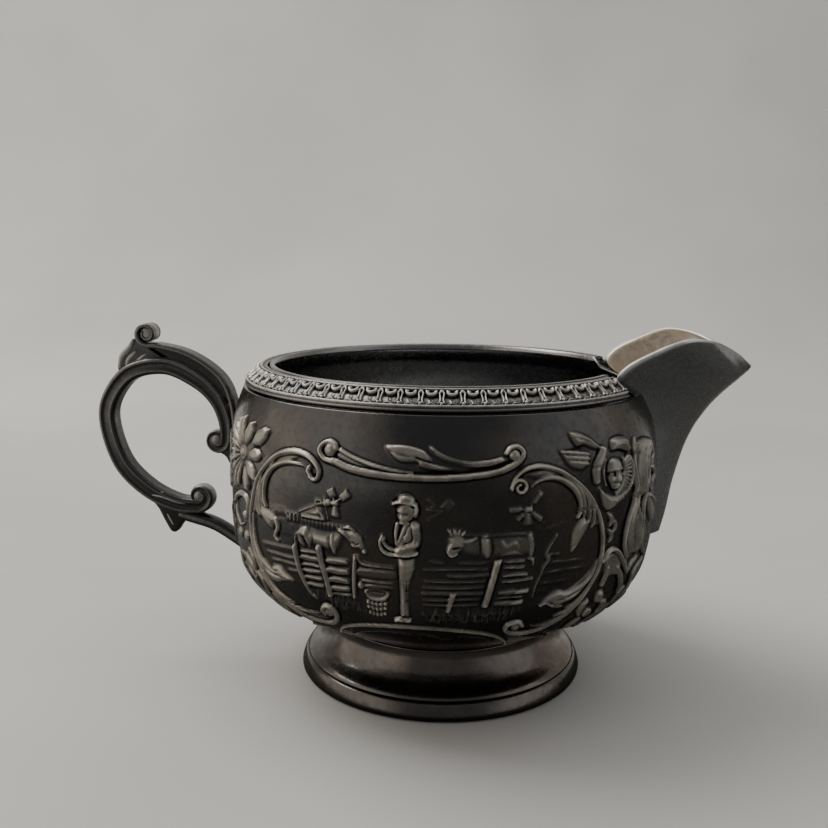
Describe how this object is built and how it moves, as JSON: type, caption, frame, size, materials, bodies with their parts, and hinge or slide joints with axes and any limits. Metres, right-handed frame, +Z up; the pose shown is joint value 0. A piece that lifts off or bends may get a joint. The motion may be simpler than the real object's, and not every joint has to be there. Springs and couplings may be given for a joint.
{
  "type": "cream jug",
  "caption": "Small footed silver cream jug with an embossed round bowl, leaf border, beak spout and scrolled loop handle.",
  "frame": {"origin": "centre of the bounding box in plan, on the plane the jug stands on; the bowl's axis is at x = +7.25 mm", "axes": "+Z up, +X from the handle towards the spout, +Y across the jug"},
  "size_m": [0.1486, 0.0952, 0.0782],
  "materials": {
    "embossed_silver": "tarnished silver plate, dark in the hollows and rubbed bright on the relief",
    "border_silver": "cast silver plate, dark cells and bright ridges",
    "plain_silver": "smooth tarnished silver plate, warm inside",
    "foot_silver": "smooth tarnished silver plate with brown streaks",
    "handle_silver": "tarnished cast silver plate, rubbed along its edges"
  },
  "bodies": {
    "root": {"bowl": "embossed_silver", "rim_border": "border_silver", "spout": "plain_silver", "foot": "foot_silver", "foot_rim_wire": "foot_silver", "handle_loop": "handle_silver", "handle_thumb_scroll": "handle_silver", "handle_strut": "handle_silver"}
  },
  "joints": []
}
